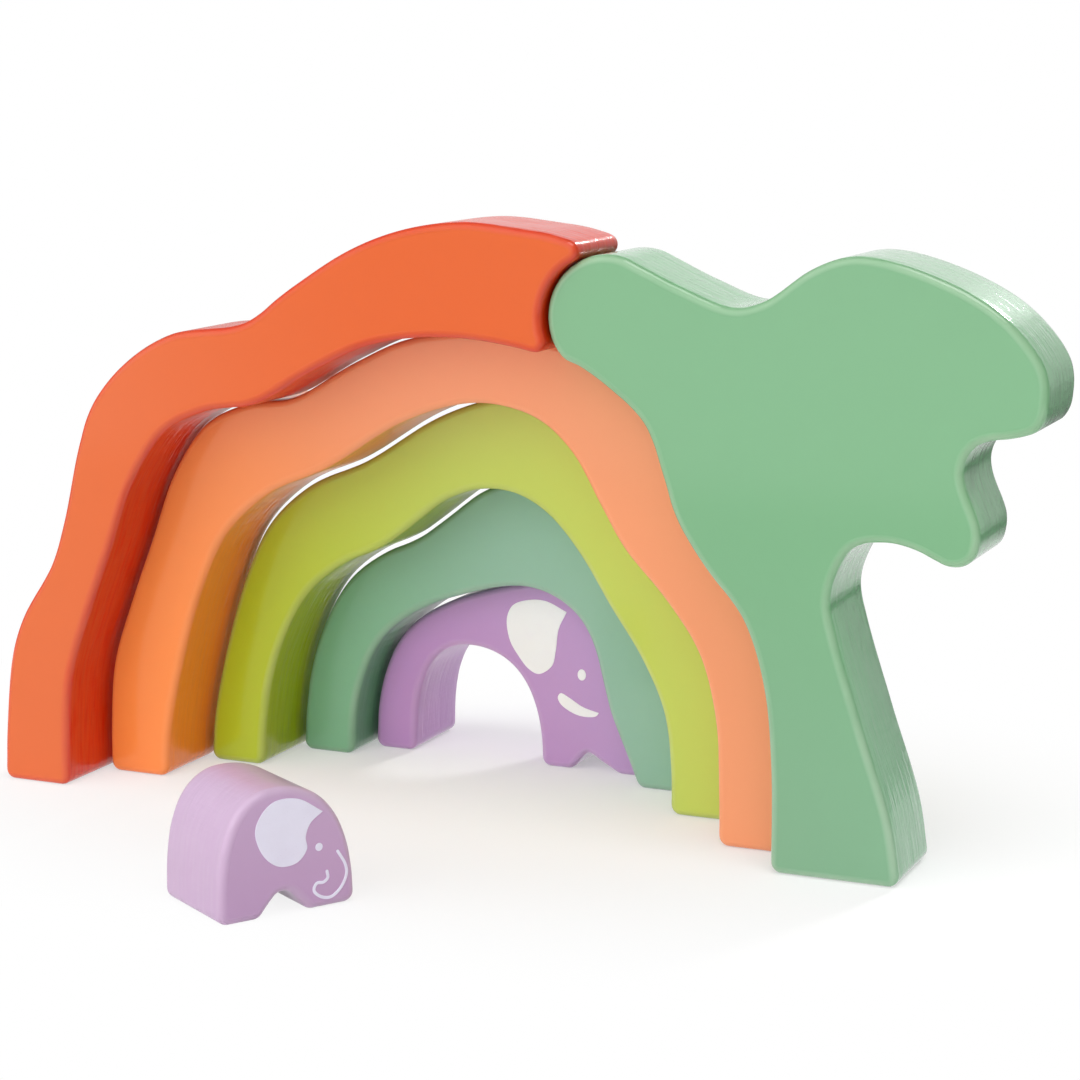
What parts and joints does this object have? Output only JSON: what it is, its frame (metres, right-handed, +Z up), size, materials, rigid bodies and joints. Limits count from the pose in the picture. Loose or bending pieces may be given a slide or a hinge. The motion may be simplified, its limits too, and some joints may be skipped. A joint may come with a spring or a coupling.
{
  "type": "elephant stacking block set",
  "caption": "Wooden stacking set: a calf and an adult elephant nest inside wavy painted arches, with a half arch on top that cups the knob of a tree standing beside them.",
  "frame": {"origin": "on the floor, under the middle of the whole set's box as it stands in the picture", "axes": "+X to the right along the nest, towards the tree; +Y to the back, away from the printed faces; +Z up"},
  "size_m": [0.3208, 0.2092, 0.1756],
  "materials": {
    "orange_paint": "solid wood, satin orange lacquer",
    "lime_paint": "solid wood, satin lime lacquer",
    "green_paint": "solid wood, satin grey green lacquer",
    "lilac_paint": "solid wood, satin lilac lacquer",
    "red_paint": "solid wood, satin orange red lacquer",
    "leaf_paint": "solid wood, satin leaf green lacquer",
    "pale_lilac_paint": "solid wood, satin pale lilac lacquer"
  },
  "bodies": {
    "orange_arch": {"orange_arch": "orange_paint"},
    "lime_arch": {"lime_arch": "lime_paint"},
    "green_arch": {"green_arch": "green_paint"},
    "elephant": {"elephant": "lilac_paint"},
    "red_arch": {"red_arch": "red_paint"},
    "tree": {"tree": "leaf_paint"},
    "calf": {"calf": "pale_lilac_paint"}
  },
  "joints": [
    {"name": "lime_slide", "type": "slide", "parent": "orange_arch", "child": "lime_arch", "axis": [0, 1, 0], "range_m": [-0.024, 0.011]},
    {"name": "green_slide", "type": "slide", "parent": "lime_arch", "child": "green_arch", "axis": [0, 1, 0], "range_m": [-0.023, 0.012]},
    {"name": "elephant_slide", "type": "slide", "parent": "green_arch", "child": "elephant", "axis": [0, 1, 0], "range_m": [-0.012, 0.023]},
    {"name": "red_slide", "type": "slide", "parent": "orange_arch", "child": "red_arch", "axis": [0, -1, 0], "range_m": [-0.021, 0.032]},
    {"name": "tree_slide", "type": "slide", "parent": "orange_arch", "child": "tree", "axis": [1, 0, 0], "range_m": [0, 0.06]},
    {"name": "calf_walk", "type": "slide", "parent": "orange_arch", "child": "calf", "axis": [0.5299, 0.848, 0], "range_m": [-0.06, 0.04]}
  ]
}
